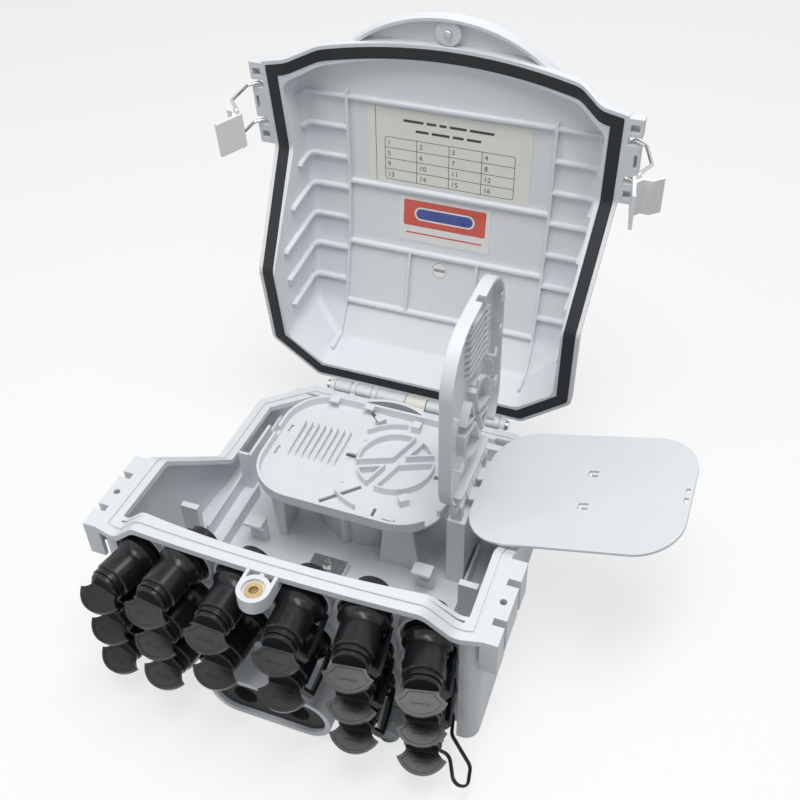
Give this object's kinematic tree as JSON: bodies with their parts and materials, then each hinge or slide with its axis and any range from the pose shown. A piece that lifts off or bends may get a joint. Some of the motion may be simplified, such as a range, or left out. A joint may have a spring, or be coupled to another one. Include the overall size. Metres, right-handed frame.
{
  "type": "fibre termination box",
  "caption": "Wall box with a hinged gasketed lid, folding splice trays, sloped side walls and a curved panel of capped drop-cable ports, shown open.",
  "frame": {"origin": "middle of the flat back face that lies against the wall", "axes": "+X to the box's right, +Y along the wall to the lid hinge, +Z away from the wall"},
  "size_m": [0.4046, 0.4182, 0.3616],
  "materials": {
    "housing_plastic": "fine satin moulded ABS, very light grey",
    "tray_plastic": "satin light grey ABS",
    "gasket_rubber": "matt black rubber",
    "black_plastic": "satin black",
    "lever_plastic": "smooth white",
    "stainless": "drawn stainless",
    "brass": "turned brass",
    "cream_plastic": "cream nylon",
    "gland_plastic": "mid grey nylon",
    "paper": "coated paper label",
    "sticker": "printed film in red, blue and white fields",
    "round_sticker": "paper dot"
  },
  "bodies": {
    "base": {"base_housing": "housing_plastic", "back_ribs": "housing_plastic", "hinge_knuckles": "housing_plastic", "port_panel": "housing_plastic", "splice_drum": "housing_plastic", "tray_tower": "housing_plastic", "floor_fittings": "housing_plastic", "back_inserts": "brass", "lid_insert": "brass", "hinge_pins": "stainless", "hinge_block": "cream_plastic", "lower_splice_tray": "tray_plastic", "tray_hinge_pin": "stainless", "port_adapters": "black_plastic", "adapter_nuts": "black_plastic", "adapter_seals": "gasket_rubber", "cap_tethers": "black_plastic", "cable_port_grommet": "gasket_rubber", "cable_gland_left": "gland_plastic", "cable_gland_right": "gland_plastic", "clamp_plate": "stainless", "clamp_screw": "stainless"},
    "lid": {"lid_cover": "housing_plastic", "lid_gasket": "gasket_rubber", "adapter_label": "paper", "colour_sticker": "sticker", "round_sticker": "round_sticker"},
    "lid_screw": {"captive_screw": "brass"},
    "left_bail": {"left_latch_bail": "stainless"},
    "right_bail": {"right_latch_bail": "stainless"},
    "left_lever": {"left_latch_lever": "lever_plastic"},
    "right_lever": {"right_latch_lever": "lever_plastic"},
    "upper_tray": {"upper_splice_tray": "tray_plastic"},
    "cover": {"tray_cover": "tray_plastic"},
    "cap_01": {"dust_cap_01": "black_plastic"},
    "cap_02": {"dust_cap_02": "black_plastic"},
    "cap_03": {"dust_cap_03": "black_plastic"},
    "cap_04": {"dust_cap_04": "black_plastic"},
    "cap_05": {"dust_cap_05": "black_plastic"},
    "cap_06": {"dust_cap_06": "black_plastic"},
    "cap_07": {"dust_cap_07": "black_plastic"},
    "cap_08": {"dust_cap_08": "black_plastic"},
    "cap_09": {"dust_cap_09": "black_plastic"},
    "cap_10": {"dust_cap_10": "black_plastic"},
    "cap_11": {"dust_cap_11": "black_plastic"},
    "cap_12": {"dust_cap_12": "black_plastic"},
    "cap_13": {"dust_cap_13": "black_plastic"},
    "cap_14": {"dust_cap_14": "black_plastic"},
    "cap_15": {"dust_cap_15": "black_plastic"},
    "cap_16": {"dust_cap_16": "black_plastic"}
  },
  "joints": [
    {"name": "lid_hinge", "type": "hinge", "parent": "base", "child": "lid", "pos_m": [0, 0.137, 0.0472], "axis": [1, 0, 0], "range_deg": [0, 40]},
    {"name": "upper_tray_fold", "type": "hinge", "parent": "base", "child": "upper_tray", "pos_m": [0.085, 0.018, 0.101], "axis": [0, -1, 0], "range_deg": [0, 90]},
    {"name": "tray_cover_fold", "type": "hinge", "parent": "upper_tray", "child": "cover", "pos_m": [0.085, 0.018, 0.101], "axis": [0, -1, 0], "range_deg": [0, 74.8]},
    {"name": "left_bail_swing", "type": "hinge", "parent": "lid", "child": "left_bail", "pos_m": [-0.147, 0.19188, 0.28388], "axis": [0, 0.0872, -0.9962], "range_deg": [-4, 86]},
    {"name": "left_lever_tilt", "type": "hinge", "parent": "left_bail", "child": "left_lever", "pos_m": [-0.14656, 0.14821, 0.28006], "axis": [0, 0.0872, -0.9962], "range_deg": [-45, 60]},
    {"name": "right_bail_swing", "type": "hinge", "parent": "lid", "child": "right_bail", "pos_m": [0.147, 0.19188, 0.28388], "axis": [0, -0.0872, 0.9962], "range_deg": [-20, 70]},
    {"name": "right_lever_tilt", "type": "hinge", "parent": "right_bail", "child": "right_lever", "pos_m": [0.15866, 0.14978, 0.2802], "axis": [0, -0.0872, 0.9962], "range_deg": [-45, 60]},
    {"name": "lid_screw_turn", "type": "hinge", "parent": "lid", "child": "lid_screw", "pos_m": [0, 0.21379, 0.34904], "axis": [0, 0.9962, 0.0872], "continuous": true},
    {"name": "cap_01_twist", "type": "hinge", "parent": "base", "child": "cap_01", "pos_m": [-0.10304, -0.12204, 0.1055], "axis": [-0.229, -0.9734, 0], "range_deg": [0, 90]},
    {"name": "cap_02_twist", "type": "hinge", "parent": "base", "child": "cap_02", "pos_m": [-0.10304, -0.12204, 0.0705], "axis": [-0.229, -0.9734, 0], "range_deg": [0, 90]},
    {"name": "cap_03_twist", "type": "hinge", "parent": "base", "child": "cap_03", "pos_m": [-0.10304, -0.12204, 0.0355], "axis": [-0.229, -0.9734, 0], "range_deg": [0, 90]},
    {"name": "cap_04_twist", "type": "hinge", "parent": "base", "child": "cap_04", "pos_m": [-0.0635, -0.1295, 0.1205], "axis": [-0.1411, -0.99, 0], "range_deg": [0, 90]},
    {"name": "cap_05_twist", "type": "hinge", "parent": "base", "child": "cap_05", "pos_m": [-0.0635, -0.1295, 0.0855], "axis": [-0.1411, -0.99, 0], "range_deg": [0, 90]},
    {"name": "cap_06_twist", "type": "hinge", "parent": "base", "child": "cap_06", "pos_m": [-0.0635, -0.1295, 0.0505], "axis": [-0.1411, -0.99, 0], "range_deg": [0, 90]},
    {"name": "cap_07_twist", "type": "hinge", "parent": "base", "child": "cap_07", "pos_m": [-0.0217, -0.13348, 0.121], "axis": [-0.0482, -0.9988, 0], "range_deg": [0, 90]},
    {"name": "cap_08_twist", "type": "hinge", "parent": "base", "child": "cap_08", "pos_m": [-0.0217, -0.13348, 0.081], "axis": [-0.0482, -0.9988, 0], "range_deg": [0, 90]},
    {"name": "cap_09_twist", "type": "hinge", "parent": "base", "child": "cap_09", "pos_m": [0.0217, -0.13348, 0.121], "axis": [0.0482, -0.9988, 0], "range_deg": [0, 90]},
    {"name": "cap_10_twist", "type": "hinge", "parent": "base", "child": "cap_10", "pos_m": [0.0217, -0.13348, 0.081], "axis": [0.0482, -0.9988, 0], "range_deg": [0, 90]},
    {"name": "cap_11_twist", "type": "hinge", "parent": "base", "child": "cap_11", "pos_m": [0.0635, -0.1295, 0.1205], "axis": [0.1411, -0.99, 0], "range_deg": [0, 90]},
    {"name": "cap_12_twist", "type": "hinge", "parent": "base", "child": "cap_12", "pos_m": [0.0635, -0.1295, 0.0855], "axis": [0.1411, -0.99, 0], "range_deg": [0, 90]},
    {"name": "cap_13_twist", "type": "hinge", "parent": "base", "child": "cap_13", "pos_m": [0.0635, -0.1295, 0.0505], "axis": [0.1411, -0.99, 0], "range_deg": [0, 90]},
    {"name": "cap_14_twist", "type": "hinge", "parent": "base", "child": "cap_14", "pos_m": [0.10304, -0.12204, 0.1055], "axis": [0.229, -0.9734, 0], "range_deg": [0, 90]},
    {"name": "cap_15_twist", "type": "hinge", "parent": "base", "child": "cap_15", "pos_m": [0.10304, -0.12204, 0.0705], "axis": [0.229, -0.9734, 0], "range_deg": [0, 90]},
    {"name": "cap_16_twist", "type": "hinge", "parent": "base", "child": "cap_16", "pos_m": [0.10304, -0.12204, 0.0355], "axis": [0.229, -0.9734, 0], "range_deg": [0, 90]}
  ]
}
